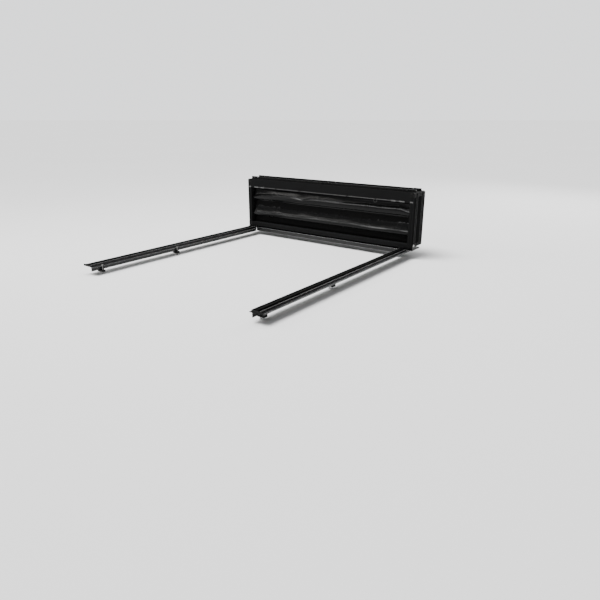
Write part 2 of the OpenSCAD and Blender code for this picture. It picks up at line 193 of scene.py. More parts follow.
class Bench:
    """The node tree of one finish, with the few moves that the finishes share."""

    def __init__(self, name: str, follows_cloth: bool = False) -> None:
        """Starts an empty material.

        Args:
            name: The material's name.
            follows_cloth: Whether patterns lie on the cut of the cloth, not in object space.
        """
        self.material = bpy.data.materials.new(name)
        self.material.use_nodes = True
        self.tree = self.material.node_tree
        self.tree.nodes.clear()
        if follows_cloth:
            self.where = self.add("ShaderNodeUVMap", {"uv_map": UV_CUT})
        else:
            self.where = self.add("ShaderNodeTexCoord", out="Object")

    def add(
        self,
        kind: str,
        settings: dict | None = None,
        sockets: dict | None = None,
        out: int | str = 0,
    ) -> Signal:
        """Adds any node.

        Args:
            kind: The node's type.
            settings: Its settings, set first.
            sockets: Values or links for its input sockets, by name or number.
            out: The output to return.

        Returns:
            That output.
        """
        node = self.tree.nodes.new(kind)
        for key, value in (settings or {}).items():
            setattr(node, key, value)
        for key, value in (sockets or {}).items():
            if isinstance(value, Signal):
                self.tree.links.new(value.socket, node.inputs[key])
            else:
                node.inputs[key].default_value = value
        return Signal(self.tree, node.outputs[out])

    def stretched(self, x: float, y: float, z: float) -> Signal:
        """Returns the pattern space, scaled along each axis."""
        return self.add("ShaderNodeMapping", None, {"Vector": self.where, "Scale": (x, y, z)})

    def noise(self, scale: float, detail: float = 2.0, space: Signal | None = None) -> Signal:
        """Adds soft noise.

        Args:
            scale: Its lumps per metre.
            detail: Its finer layers.
            space: The space it lies in, if not the usual one.

        Returns:
            Its value, about 0.5 on average.
        """
        sockets = {"Vector": space or self.where, "Scale": scale, "Detail": detail}
        return self.add("ShaderNodeTexNoise", None, sockets)

    def cells(
        self, scale: float, settings: dict | None = None, space: Signal | None = None
    ) -> Signal:
        """Adds cells, such as grain or spangle.

        Args:
            scale: Cells per metre.
            settings: The Voronoi node's settings.
            space: The space they lie in, if not the usual one.

        Returns:
            The distance to the cell's middle or edge.
        """
        sockets = {"Vector": space or self.where, "Scale": scale}
        return self.add("ShaderNodeTexVoronoi", settings, sockets)

    def between(self, value: Signal, low: float, high: float) -> Signal:
        """Turns a value into a soft mask.

        Args:
            value: The value.
            low: Where the mask starts.
            high: Where it is full.

        Returns:
            0 where value is under low, 1 over high, smooth between.
        """
        settings = {"interpolation_type": "SMOOTHSTEP"}
        sockets = {"Value": value, "From Min": low, "From Max": high}
        return self.add("ShaderNodeMapRange", settings, sockets)

    def blend(
        self, factor: Signal | float, first: Signal | Colour, second: Signal | Colour
    ) -> Signal:
        """Mixes two colours.

        Args:
            factor: 0 for the first, 1 for the second.
            first: One colour.
            second: The other.

        Returns:
            The mixed colour.
        """
        sockets = {0: factor, 6: first, 7: second}
        return self.add("ShaderNodeMix", {"data_type": "RGBA"}, sockets, out=2)

    def parts(self, vector: Signal) -> list[Signal]:
        """Splits a vector.

        Args:
            vector: The vector.

        Returns:
            Its x, y and z.
        """
        node = self.tree.nodes.new("ShaderNodeSeparateXYZ")
        self.tree.links.new(vector.socket, node.inputs[0])
        return [Signal(self.tree, socket) for socket in node.outputs]

    def rounded(self, radius: float) -> Signal:
        """Returns a normal that is soft within radius of an edge."""
        return self.add("ShaderNodeBevel", {"samples": 4}, {"Radius": radius})

    def edges(self, soft: Signal) -> Signal:
        """Finds the edges of a piece.

        Args:
            soft: The normal from rounded().

        Returns:
            1 on edges and 0 on flats.
        """
        true = self.add("ShaderNodeNewGeometry", out="Normal")
        settings = {"operation": "DOT_PRODUCT"}
        dot = self.add("ShaderNodeVectorMath", settings, {0: soft, 1: true}, out="Value")
        return self.between(1.0 - dot, 0.02, 0.16)

    def facing_up(self) -> Signal:
        """Returns 1 where the surface looks up, in the piece's own space."""
        normal = self.add("ShaderNodeTexCoord", out="Normal")
        return self.between(self.parts(normal)[2], 0.35, 0.95)

    def relief(
        self, height: Signal, depth: float, strength: float = 1.0, on: Signal | None = None
    ) -> Signal:
        """Adds fine relief.

        Args:
            height: Its height from 0 to 1.
            depth: What 1 stands for, in metres.
            strength: How much of it shows.
            on: The normal it lies on.

        Returns:
            The new normal.
        """
        sockets = {"Height": height, "Distance": depth, "Strength": strength}
        if on is not None:
            sockets["Normal"] = on
        return self.add("ShaderNodeBump", None, sockets)

    def close(
        self, tone: Signal, rough: Signal, normal: Signal | None, more: dict
    ) -> bpy.types.Material:
        """Joins everything to the surface.

        Args:
            tone: The base colour.
            rough: The roughness.
            normal: The normal, if the finish has relief.
            more: The Principled shader's other sockets.

        Returns:
            The finished material.
        """
        sockets = {"Base Color": tone, "Roughness": rough, **more}
        if normal is not None:
            sockets["Normal"] = normal
        shader = self.add("ShaderNodeBsdfPrincipled", None, sockets)
        output = self.tree.nodes.new("ShaderNodeOutputMaterial")
        self.tree.links.new(shader.socket, output.inputs["Surface"])
        return self.material


# ------------------------------------------------------------------- finishes


@dataclass(frozen=True)
class CoatedCloth:
    """Black PVC-coated cloth: leather grain, slack ripples, chalky dust and welded seams."""

    name: str
    level: float = 0.0030
    gloss: float = 0.24
    shine: float = 0.11
    ripple_depth: float = 0.0022
    weld_half: tuple[float, float] | None = None
    weld_edges: tuple[float, float] = (0.024, 0.034)
    weld_depth: float = 0.0006
    grain: float = 720.0
    grain_depth: float = 0.00016
    grain_stray: float = 0.0016

    def pebbles(self, bench: Bench) -> Signal:
        """Makes the leather grain, whose cells stray a little so that no row shows.

        Args:
            bench: The finish's node tree.

        Returns:
            1 on a pebble and 0 in the valleys between them.
        """
        sockets = {"Vector": bench.where, "Scale": 260.0}
        stray = bench.add("ShaderNodeTexNoise", None, sockets, out="Color")
        stray = bench.add(
            "ShaderNodeVectorMath", {"operation": "SCALE"}, {0: stray, "Scale": self.grain_stray}
        )
        bent = bench.add("ShaderNodeVectorMath", {"operation": "ADD"}, {0: bench.where, 1: stray})
        cells = bench.cells(self.grain, {"feature": "DISTANCE_TO_EDGE"}, bent)
        return bench.between(cells, 0.02, 0.30)

    def weld(self, bench: Bench) -> Signal:
        """Makes the band that the welding bar leaves round the panel.

        Args:
            bench: The finish's node tree.

        Returns:
            1 in the band and 0 off it.
        """
        across, along, _ = bench.parts(bench.where)
        inset = (self.weld_half[0] - abs(across)).least(self.weld_half[1] - abs(along))
        outer, inner = self.weld_edges
        soft = 0.0015
        return bench.between(inset, outer, outer + soft) * (
            1.0 - bench.between(inset, inner - soft, inner)
        )

    def make(self) -> bpy.types.Material:
        """Mixes the finish.

        Returns:
            The material.
        """
        bench = Bench(self.name, follows_cloth=True)
        pebble = self.pebbles(bench)
        ripples = bench.noise(7.0, 1.5, bench.stretched(0.6, 1.7, 1.0))
        creases = bench.noise(34.0, 2.5, bench.stretched(0.5, 1.4, 1.0))
        dust = bench.between(bench.noise(11.0, 5.0), 0.48, 0.80)
        scuffs = bench.between(bench.noise(90.0, 4.0, bench.stretched(0.25, 1.0, 1.0)), 0.62, 0.78)
        tone = bench.blend(dust * 0.35, grey(self.level, -0.02), grey(self.level * 2.0, 0.02))
        tone = bench.blend(scuffs * 0.18, tone, grey(self.level * 3.4))
        rough = self.gloss + 0.06 * dust + 0.08 * scuffs + 0.05 * (1.0 - pebble)
        normal = bench.relief(ripples, self.ripple_depth * 1.6, 0.8)
        normal = bench.relief(creases, self.ripple_depth * 0.14, 0.7, normal)
        if self.weld_half is not None:
            seam = self.weld(bench)
            hatch = bench.add(
                "ShaderNodeTexWave",
                {"bands_direction": "DIAGONAL"},
                {"Vector": bench.where, "Scale": 130.0, "Distortion": 0.0},
            )
            height = 1.0 - seam * (0.6 + 0.4 * hatch)
            normal = bench.relief(height, self.weld_depth, 1.0, normal)
            rough = rough - 0.10 * seam
        normal = bench.relief(pebble, self.grain_depth, 0.55, normal)
        return bench.close(tone, rough, normal, {"Specular IOR Level": self.shine})


@dataclass(frozen=True)
class ScrimBacking:
    """The dull woven backing on the inside of the vinyl."""

    name: str
    level: float = 0.0016
    threads: float = 900.0
    ripple_depth: float = 0.005
    weave_depth: float = 0.00012

    def make(self) -> bpy.types.Material:
        """Mixes the finish.

        Returns:
            The material.
        """
        bench = Bench(self.name, follows_cloth=True)
        across, along, _ = bench.parts(bench.where)
        warp = (across * (self.threads * math.pi)).sine()
        weft = (along * (self.threads * math.pi)).sine()
        weave = 0.5 + 0.5 * (warp * weft)
        lint = bench.between(bench.noise(24.0, 5.0), 0.46, 0.80)
        slubs = bench.between(bench.noise(160.0, 2.0, bench.stretched(0.08, 1.0, 1.0)), 0.58, 0.75)
        tone = bench.blend(weave, grey(self.level * 0.7), grey(self.level * 1.4))
        tone = bench.blend(lint * 0.5, tone, grey(self.level * 2.8, 0.03))
        tone = bench.blend(slubs * 0.35, tone, grey(self.level * 2.2))
        rough = 0.62 + 0.2 * lint + 0.1 * weave
        ripples = bench.noise(7.0, 1.5, bench.stretched(0.6, 1.7, 1.0))
        normal = bench.relief(ripples, self.ripple_depth, 0.8)
        normal = bench.relief(weave, self.weave_depth, 0.8, normal)
        return bench.close(tone, rough, normal, {"Specular IOR Level": 0.05})


@dataclass(frozen=True)
class Coating:
    """A baked coat on metal: orange peel, rubbed edges, a painted highlight along every edge, settled dust and
    fine scratches.
    """

    name: str
    level: float
    gloss: float
    peel: float = 420.0
    peel_depth: float = 0.00012
    rub: float = 0.35
    metal: float = 0.10
    dusty: float = 0.5
    shine: float = 0.10
    # The tone of the painted highlight that lightens every edge.
    painted_edge_highlight: float = 0.010
    edge_w: float = 0.0011

    def make(self) -> bpy.types.Material:
        """Mixes the finish.

        Returns:
            The material.
        """
        bench = Bench(self.name)
        soft = bench.rounded(self.edge_w)
        edge = bench.edges(soft)
        patchy = bench.between(bench.noise(38.0, 4.0), 0.42, 0.66)
        rubbed = (edge * patchy).clamped()
        dust = bench.facing_up() * bench.between(bench.noise(16.0, 6.0), 0.40, 0.78)
        hair = bench.between(bench.noise(240.0, 2.0, bench.stretched(0.04, 1.0, 1.0)), 0.66, 0.74)
        uneven = 0.55 * bench.noise(5.0, 3.0)
        tone = bench.blend(uneven, grey(self.level), grey(self.level * 1.5, -0.03))
        tone = bench.blend(dust * (0.30 * self.dusty), tone, grey(0.030, 0.05))
        # Painted highlight: every edge is lightened towards the edge tone, standing in for light caught on
        # rounded edges.
        tone = bench.blend(edge * 0.55, tone, grey(self.painted_edge_highlight))
        tone = bench.blend(rubbed * self.rub, tone, grey(self.metal))
        tone = bench.blend(hair * 0.04, tone, grey(self.metal * 0.6))
        rough = self.gloss + 0.07 * (bench.noise(60.0, 3.0) - 0.5)
        rough = rough + 0.22 * self.dusty * dust - 0.08 * rubbed
        normal = bench.relief(bench.noise(self.peel, 2.0), self.peel_depth, 0.8, soft)
        fine = bench.noise(self.peel * 4.5, 1.0)
        normal = bench.relief(fine, self.peel_depth * 0.3, 0.6, normal)
        more = {"Metallic": rubbed * (0.9 * self.rub), "Specular IOR Level": self.shine}
        return bench.close(tone, rough, normal, more)


@dataclass(frozen=True)
class BareMetal:
    """Bare or plated metal: drawn lines or crystal spangle, smudges and dull spots."""

    name: str
    level: float
    gloss: float
    spangle: bool = False
    warmth: float = 0.0
    edge_w: float = 0.0006

    def make(self) -> bpy.types.Material:
        """Mixes the finish.

        Returns:
            The material.
        """
        bench = Bench(self.name)
        soft = bench.rounded(self.edge_w)
        smudge = bench.between(bench.noise(22.0, 4.0), 0.38, 0.70)
        spots = bench.between(bench.noise(310.0, 3.0), 0.64, 0.78)
        if self.spangle:
            figure = bench.cells(420.0, {"feature": "F1"})
            depth = 0.00002
        else:
            figure = bench.noise(900.0, 3.0, bench.stretched(0.02, 1.0, 1.0))
            depth = 0.00004
        dim, lit = grey(self.level * 0.80, self.warmth), grey(self.level * 1.12, self.warmth * 0.4)
        tone = bench.blend(figure, dim, lit)
        tone = bench.blend(smudge * 0.30, tone, grey(self.level * 0.62, self.warmth + 0.02))
        tone = bench.blend(spots * 0.45, tone, grey(self.level * 0.36, 0.05))
        rough = self.gloss + 0.14 * smudge + 0.10 * figure + 0.20 * spots
        normal = bench.relief(figure, depth, 0.7, soft)
        return bench.close(tone, rough, normal, {"Metallic": 1.0 - 0.5 * spots})


@dataclass(frozen=True)
class MouldedNylon:
    """Glass-filled nylon: spark-eroded grain, flow marks, and polished edges with a painted highlight on them.
    """

    name: str
    level: float
    gloss: float = 0.52
    edge_w: float = 0.0014
    grit_depth: float = 0.00010

    def make(self) -> bpy.types.Material:
        """Mixes the finish.

        Returns:
            The material.
        """
        bench = Bench(self.name)
        soft = bench.rounded(self.edge_w)
        edge = bench.edges(soft)
        flow = bench.between(bench.noise(26.0, 5.0, bench.stretched(0.35, 1.0, 1.0)), 0.3, 0.75)
        grit = bench.noise(1500.0, 2.0)
        pits = bench.cells(1100.0)
        dust = bench.facing_up() * bench.between(bench.noise(20.0, 5.0), 0.42, 0.75)
        tone = bench.blend(flow, grey(self.level * 0.85), grey(self.level * 1.35))
        tone = bench.blend(dust * 0.16, tone, grey(0.03, 0.05))
        # Painted highlight: every edge is lightened, standing in for light caught on the rounded edges.
        tone = bench.blend(edge * 0.22, tone, grey(self.level * 3.6))
        rough = self.gloss + 0.14 * flow - 0.14 * edge + 0.10 * dust
        normal = bench.relief(0.6 * grit + 0.4 * pits, self.grit_depth, 0.75, soft)
        return bench.close(tone, rough, normal, {"Specular IOR Level": 0.10})


@dataclass(frozen=True)
class SealRubber:
    """EPDM rubber or foam: extrusion lines or open pores, with a grey bloom."""

    name: str
    foam: bool = False
    level: float = 0.0035
    edge_w: float = 0.0012

    def make(self) -> bpy.types.Material:
        """Mixes the finish.

        Returns:
            The material.
        """
        bench = Bench(self.name)
        bloom = bench.between(bench.noise(13.0, 6.0), 0.40, 0.78)
        pores = bench.cells(620.0 if self.foam else 1500.0)
        lines = bench.noise(620.0, 2.0, bench.stretched(1.0, 0.015, 1.0))
        tone = bench.blend(bloom * 0.55, grey(self.level), grey(self.level * 3.2, 0.03))
        tone = bench.blend(0.25 * pores, tone, grey(self.level * 0.4))
        rough = 0.58 + 0.20 * bloom + 0.08 * lines
        height, depth = (pores, 0.0004) if self.foam else (0.7 * lines + 0.3 * pores, 0.00010)
        normal = bench.relief(height, depth, 0.8, bench.rounded(self.edge_w))
        return bench.close(tone, rough, normal, {"Specular IOR Level": 0.08})


@dataclass(frozen=True)
class StudioGround:
    """Pale matt floor with a faint mottle."""

    name: str = "studio_ground"

    def make(self) -> bpy.types.Material:
        """Mixes the finish.

        Returns:
            The material.
        """
        bench = Bench(self.name)
        mottle = bench.noise(0.35, 3.0)
        tone = bench.blend(mottle, grey(0.80), grey(0.84))
        return bench.close(tone, 0.85 + 0.1 * mottle, None, {"Specular IOR Level": 0.15})


@dataclass
class Finishes:
    """Every finish of the cover, made once."""

    cover: bpy.types.Material = field(init=False)
    cloth: bpy.types.Material = field(init=False)
    backing: bpy.types.Material = field(init=False)
    rubber: bpy.types.Material = field(init=False)
    foam: bpy.types.Material = field(init=False)
    bow: bpy.types.Material = field(init=False)
    corner: bpy.types.Material = field(init=False)
    trim: bpy.types.Material = field(init=False)
    rail: bpy.types.Material = field(init=False)
    frame: bpy.types.Material = field(init=False)
    hinge: bpy.types.Material = field(init=False)
    clamp: bpy.types.Material = field(init=False)
    zinc: bpy.types.Material = field(init=False)
    bright: bpy.types.Material = field(init=False)
    plate: bpy.types.Material = field(init=False)
    bracket: bpy.types.Material = field(init=False)

    def __post_init__(self) -> None:
        """Makes the materials."""
        self.cover = CoatedCloth("vinyl_cover", weld_half=(0.910, 0.233), gloss=0.30, shine=0.02).make()
        self.cloth = CoatedCloth("vinyl_plain", gloss=0.20, shine=0.13, ripple_depth=0.0016).make()
        self.backing = ScrimBacking("vinyl_backing").make()
        self.rubber = SealRubber("seal_rubber").make()
        self.foam = SealRubber("seal_foam", foam=True).make()
        self.bow = BareMetal("bow_aluminium", 0.30, 0.30).make()
        self.corner = MouldedNylon("corner_nylon", 0.0040).make()
        self.trim = MouldedNylon("trim_nylon", 0.0035, 0.46).make()
        # The rails' edges carry a strong painted highlight line, much paler than the coat.
        self.rail = Coating("rail_powder_coat", 0.0095, 0.30, shine=0.22, painted_edge_highlight=0.70, edge_w=0.0032).make()
        self.frame = Coating("frame_powder_coat", 0.0078, 0.50, dusty=0.3, shine=0.0, metal=0.03).make()
        self.hinge = Coating("hinge_coat", 0.0040, 0.32, peel=260.0, peel_depth=0.00006, rub=0.6).make()
        self.clamp = Coating("clamp_powder_coat", 0.0055, 0.46, peel=700.0, peel_depth=0.0002).make()
        self.zinc = BareMetal("zinc_plate", 0.40, 0.30, spangle=True, warmth=0.02).make()
        self.bright = BareMetal("retainer_aluminium", 0.085, 0.28).make()
        self.plate = BareMetal("plate_aluminium", 0.13, 0.26).make()
        self.bracket = BareMetal("bracket_plate", 0.055, 0.42, spangle=True, warmth=0.02).make()

    def dress(self, nodes: dict[str, bpy.types.Object], record: dict) -> None:
        """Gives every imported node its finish.

        Args:
            nodes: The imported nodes.
            record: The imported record, which names each node's slot.
        """
        by_slot = {
            "vinyl": self.cloth, "rubber": self.rubber, "bow_aluminium": self.bow, "corner_plastic": self.corner,
            "trim_plastic": self.trim, "rail_powder_coat": self.rail, "frame_powder_coat": self.frame,
            "hinge_steel": self.hinge, "clamp_powder_coat": self.clamp, "zinc_steel": self.zinc,
        }
        by_node = {"cab_seal": self.foam, "tail_seal": self.foam, "panel_1_retainer": self.bright,
                   "pivot_brackets": self.bracket}
        slot_of = {row["node"]: row["material_slot"] for row in record["subparts"]}
        for name, node in nodes.items():
            finish = by_node.get(name) or by_slot[slot_of[name]]
            for place in node.material_slots:
                place.material = finish
            LOG.info("dressed %s in %s", name, finish.name)


# --------------------------------------------------------------------- shapes


class Axis(Enum):
    """The direction of a rod or a turned shape."""

    X = "X"
    Y = "Y"
    Z = "Z"

    def turn(self) -> Matrix:
        """Finds the turn from Z to this axis.

        Returns:
            The turn.
        """
        if self is Axis.X:
            return Matrix.Rotation(math.pi / 2, 4, "Y")
        if self is Axis.Y:
            return Matrix.Rotation(-math.pi / 2, 4, "X")
        return Matrix.Identity(4)


class Shape:
    """A mesh on the workbench, which becomes one finished piece."""

    def __init__(self) -> None:
        """Starts an empty mesh."""
        self.mesh = bmesh.new()

    def soften(self, verts: list, radius: float, segments: int = 2) -> None:
        """Rounds the sharp edges between some vertices.

        Args:
            verts: The vertices.
            radius: The rounding's width.
            segments: Its steps.
        """
        inside = set(verts)
        limit = math.radians(35)
        own = [e for v in verts for e in v.link_edges if all(w in inside for w in e.verts)]
        sharp = [e for e in own if e.is_manifold and e.calc_face_angle() > limit]
        bmesh.ops.bevel(self.mesh, geom=list(dict.fromkeys(sharp)), affect="EDGES", offset=radius,
                        segments=segments, profile=0.5, material=-1, clamp_overlap=True)

    def block(self, low: Vector, high: Vector, radius: float) -> None:
        """Adds a block with rounded edges.

        Args:
            low: Its lowest corner.
            high: Its highest corner.
            radius: The rounding.
        """
        frame = Matrix.Translation((low + high) / 2) @ Matrix.Diagonal((*(high - low), 1.0))
        self.soften(bmesh.ops.create_cube(self.mesh, size=1.0, matrix=frame)["verts"], radius)

    def rod(
        self, centre: Vector, axis: Axis, radius: float, length: float, sides: int, chamfer: float
    ) -> None:
        """Adds a rod or prism.

        Args:
            centre: Its middle.
            axis: Its direction.
            radius: Its radius.
            length: Its length.
            sides: Its sides.
            chamfer: The rounding of its ends.
        """
        frame = Matrix.Translation(centre) @ axis.turn()
        made = bmesh.ops.create_cone(
            self.mesh, cap_ends=True, segments=sides, radius1=radius, radius2=radius,
            depth=length, matrix=frame,
        )["verts"]
        own = [e for v in made for e in v.link_edges]
        rims = [e for e in own if any(len(f.verts) > 4 for f in e.link_faces)]
        bmesh.ops.bevel(
            self.mesh, geom=list(dict.fromkeys(rims)), affect="EDGES", offset=chamfer,
            segments=2, profile=0.5, material=-1, clamp_overlap=True,
        )

    def become(self, name: str, finish: bpy.types.Material, body: str,
               sharp: float = 32.0, closed: bool = True) -> bpy.types.Object:
        """Turns the mesh into a finished piece.

        Args:
            name: The piece's name.
            finish: Its material.
            body: The body it rides on, or "" to leave it on no body.
            sharp: Edges over this angle stay sharp, in degrees.
            closed: Whether its faces are turned outwards.

        Returns:
            The piece.
        """
        if closed:
            bmesh.ops.recalc_face_normals(self.mesh, faces=self.mesh.faces)
        for face in self.mesh.faces:
            face.smooth = True
        data = bpy.data.meshes.new(name)
        self.mesh.to_mesh(data)
        self.mesh.free()
        data.set_sharp_from_angle(angle=math.radians(sharp))
        piece = bpy.data.objects.new(name, data)
        bpy.context.scene.collection.objects.link(piece)
        data.materials.append(finish)
        if body:
            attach(piece, body)
        LOG.info("built %s with %d faces on %s", name, len(data.polygons), body or "two bodies")
        return piece


@dataclass
class PanScrew:
    """A pan-head screw with a round driver recess."""

    head_r: float = 0.0042
    head_h: float = 0.0022
    recess_r: float = 0.0019
    sides: int = 14
    dome: float = 0.6
    recess: float = 0.5
    least: float = 0.0003
    draft: float = 0.0002

    def add(self, shape: Shape, foot: Vector, towards: Vector) -> None:
        """Adds the head.

        Args:
            shape: The mesh it goes into.
            foot: The middle of its underside.
            towards: The way it faces.
        """
        turn = towards.to_track_quat("Z", "Y").to_matrix().to_4x4()
        place = Matrix.Translation(foot) @ turn
        lift = Matrix.Translation((0, 0, self.head_h / 2))
        made = bmesh.ops.create_cone(
            shape.mesh, cap_ends=True, segments=self.sides, radius1=self.head_r,
            radius2=self.head_r, depth=self.head_h, matrix=place @ lift,
        )["verts"]
        caps = list(dict.fromkeys(f for v in made for f in v.link_faces if len(f.verts) > 4))
        top = max(caps, key=lambda f: f.calc_center_median().dot(towards))
        bmesh.ops.bevel(
            shape.mesh, geom=list(top.edges), affect="EDGES", offset=self.head_h * self.dome,
            segments=2, profile=0.5, material=-1, clamp_overlap=True,
        )
        near = [f for f in shape.mesh.faces if (f.calc_center_median() - foot).length < self.head_h * 2]
        caps = [f for f in near if len(f.verts) == self.sides]
        top = max(caps, key=lambda f: f.calc_center_median().dot(towards))
        reach = min((v.co - top.calc_center_median()).length for v in top.verts)
        rim = max(reach - self.recess_r, self.least)
        deep = self.head_h * self.recess
        bmesh.ops.inset_individual(shape.mesh, faces=[top], thickness=rim, depth=0.0)
        bmesh.ops.inset_individual(shape.mesh, faces=[top], thickness=self.draft, depth=-deep)


# ----------------------------------------------------------------- the panels


@dataclass
class Panel:
    """One panel's place: its own flat space is x across, y forwards and z up from its underside."""

    number: int
    frame_t: float = 0.043
    bar_w: float = 0.040
    end_w: float = 0.036
    band_w: float = 0.084
    bow_half: float = 0.008
    half_w: float = field(init=False)
    length: float = field(init=False)
    place: Matrix = field(init=False)
    bows: tuple[float, float] = field(init=False)

    def __post_init__(self) -> None:
        """Reads the panel's place from its packed skin and bows."""
        low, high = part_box(f"panel_{self.number}_skin")
        self.half_w = high.x
        self.length = high.z - low.z
        if self.banded:
            under = low.y - self.frame_t
            self.place = Matrix.Translation((0, under, low.z)) @ Matrix.Rotation(-math.pi / 2, 4, "X")
        else:
            under = high.y + self.frame_t
            self.place = Matrix.Translation((0, under, high.z)) @ Matrix.Rotation(math.pi / 2, 4, "X")
        bow_low, bow_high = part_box(f"panel_{self.number}_bows")
        ends = [self.place.inverted() @ Vector((0, bow_low.y, z)) for z in (bow_low.z, bow_high.z)]
        near, far = sorted(-p.y for p in ends)
        self.bows = (near + self.bow_half, far - self.bow_half)

    @property
    def banded(self) -> bool:
        """Whether this is a first or third panel, which stands with its front at the foot."""
        return self.number % 2 == 1

    @property
    def body(self) -> str:
        """The body's name."""
        return f"panel_{self.number}"

    @property
    def up(self) -> float:
        """1 if the panel's rear is on top in the folded stack, and -1 if its front is."""
        return 1.0 if self.banded else -1.0


@dataclass
class PanelCover:
    """The stretched vinyl of a panel, simulated slack, then turned down over the frame."""

    panel: Panel
    cell: float = 0.0125
    mid_h: float = 0.0444
    cloth_t: float = 0.0009
    corner_r: float = 0.0145
    hem: float = 0.012
    turn: float = 0.0006
    sag: float = 0.0045
    cap: float = 0.0035
    steps: int = 16
    side_run: float = 0.12
    grip: float = 0.004

    def core(self, x: float, s: float) -> Vector:
        """Finds the nearest place inside the rounded corners' centres.

        Args:
            x: The place across.
            s: The place behind the middle.

        Returns:
            That place, in the panel's own space.
        """
        wide, long = self.panel.half_w - self.corner_r, self.panel.length / 2 - self.corner_r
        return Vector((max(-wide, min(x, wide)), max(-long, min(s, long)), 0))

    def outward(self, x: float, s: float) -> Vector:
        """Finds the way out of the cover's edge.

        Args:
            x: The place across.
            s: The place behind the middle.

        Returns:
            A flat unit vector, in the panel's own space.
        """
        away = Vector((x, s, 0)) - self.core(x, s)
        return away.normalized() if away.length > 1e-9 else Vector((0, 0, 0))

    def slack(self, x: float, s: float) -> float:
        """How far the cloth hangs into the frame before it is simulated.

        Args:
            x: The place across.
            s: The distance behind the panel's front edge.

        Returns:
            The depth in metres.
        """
        panel = self.panel
        rear_w = panel.band_w if panel.banded else panel.end_w
        stops = [panel.end_w, *panel.bows, panel.length - rear_w]
        depth = 0.0
        for low, high in zip(stops, stops[1:]):
            if low < s < high:
                u = (s - low) / (high - low)
                u = u if panel.up > 0 else 1 - u
                depth = self.sag * math.sin(math.pi * u**0.7) ** 1.3
        side = eased((panel.half_w - panel.bar_w - abs(x)) / self.side_run)
        wander = 0.75 + 0.25 * math.sin(5.1 * x + 1.7 * panel.number)
        return depth * side * (wander + 0.2 * math.sin(11.3 * x + 17 * s))

    def grid(self) -> bmesh.types.BMesh:
        """Makes the flat cut with its rounded corners.

        Returns:
            The mesh in the panel's own space, with a UV layer that holds the cut in metres.
        """
        panel = self.panel
        half_l = panel.length / 2
        mesh = bmesh.new()
        bmesh.ops.create_grid(
            mesh, x_segments=round(2 * panel.half_w / self.cell),
            y_segments=round(panel.length / self.cell), size=1.0,
            matrix=Matrix.Diagonal((panel.half_w, half_l, 1, 1)),
        )
        for vert in mesh.verts:
            core = self.core(vert.co.x, vert.co.y)
            away = vert.co - core
            if abs(away.x) > 1e-9 and abs(away.y) > 1e-9:
                vert.co = core + away * (max(abs(away.x), abs(away.y)) / away.length)
        layer = mesh.loops.layers.uv.new(UV_CUT)
        for face in mesh.faces:
            for loop in face.loops:
                loop[layer].uv = loop.vert.co.xy
        return mesh

    def simulate(self, piece: bpy.types.Object, pinned: list[int]) -> None:
        """Lets the cloth fall a little slack, and keeps it near its start.

        Args:
            piece: The cloth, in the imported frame.
            pinned: The vertices on the frame's bars.
        """
        start = [v.co.copy() for v in piece.data.vertices]
        group = piece.vertex_groups.new(name="pinned")
        group.add(pinned, 1.0, "REPLACE")
        cloth = piece.modifiers.new("hang", "CLOTH")
        cloth.settings.quality = 5
        cloth.settings.mass = 0.45
        cloth.settings.tension_stiffness = 12
        cloth.settings.compression_stiffness = 12
        cloth.settings.bending_stiffness = 0.35
        cloth.settings.vertex_group_mass = "pinned"
        cloth.settings.shrink_min = -0.006
        cloth.collision_settings.use_self_collision = False
        cloth.point_cache.frame_start, cloth.point_cache.frame_end = 1, self.steps
        scene = bpy.context.scene
        for step in range(1, self.steps + 1):
            scene.frame_set(step)
        hung = piece.evaluated_get(bpy.context.evaluated_depsgraph_get()).data
        moved = [v.co.copy() for v in hung.vertices]
        piece.modifiers.remove(cloth)
        piece.vertex_groups.clear()
        scene.frame_set(1)
        for vert, before, after in zip(piece.data.vertices, start, moved):
            move = after - before
            if move.length > self.cap:
                over = math.tanh(move.length / self.cap - 1)
                move *= self.cap / move.length * (1 + 0.25 * over)
            vert.co = before + move

    def build(self, finish: bpy.types.Material, backing: bpy.types.Material) -> bpy.types.Object:
        """Builds the cover.

        Args:
            finish: Its outer material.
            backing: Its inner material.

        Returns:
            The piece.
        """
        panel = self.panel
        half_l = panel.length / 2
        name = f"{panel.body}_cover"
        mesh = self.grid()
        to_panel = Matrix.Translation((0, -half_l, self.mid_h))
        for vert in mesh.verts:
            vert.co.z = -self.slack(vert.co.x, half_l - vert.co.y)
        pinned = [
            v.index for v in mesh.verts
            if panel.half_w - abs(v.co.x) < panel.bar_w + self.grip
            or half_l - abs(v.co.y) < panel.end_w + self.grip
        ]
        mesh.transform(panel.place @ to_panel)
        data = bpy.data.meshes.new(name)
        mesh.to_mesh(data)
        mesh.free()
        piece = bpy.data.objects.new(data.name, data)
        bpy.context.scene.collection.objects.link(piece)
        self.simulate(piece, pinned)
        shape = Shape()
        shape.mesh.from_mesh(data)
        bpy.data.objects.remove(piece)
        bpy.data.meshes.remove(data)
        shape.mesh.transform((panel.place @ to_panel).inverted())
        free = [
            v for v in shape.mesh.verts
            if not v.is_boundary and panel.half_w - abs(v.co.x) > panel.bar_w
        ]
        bmesh.ops.smooth_vert(
            shape.mesh, verts=free, factor=0.35,
            use_axis_x=False, use_axis_y=False, use_axis_z=True,
        )
        self.turn_down(shape, shape.mesh.loops.layers.uv[UV_CUT])
        shape.mesh.transform(panel.place @ to_panel)
        made = shape.become(name, finish, panel.body, sharp=180.0, closed=False)
        made.data.materials.append(backing)
        FinishSteps(smooth=1, wall=self.cloth_t, inside=1).apply(made)
        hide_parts(f"panel_{panel.number}_skin")
        return made

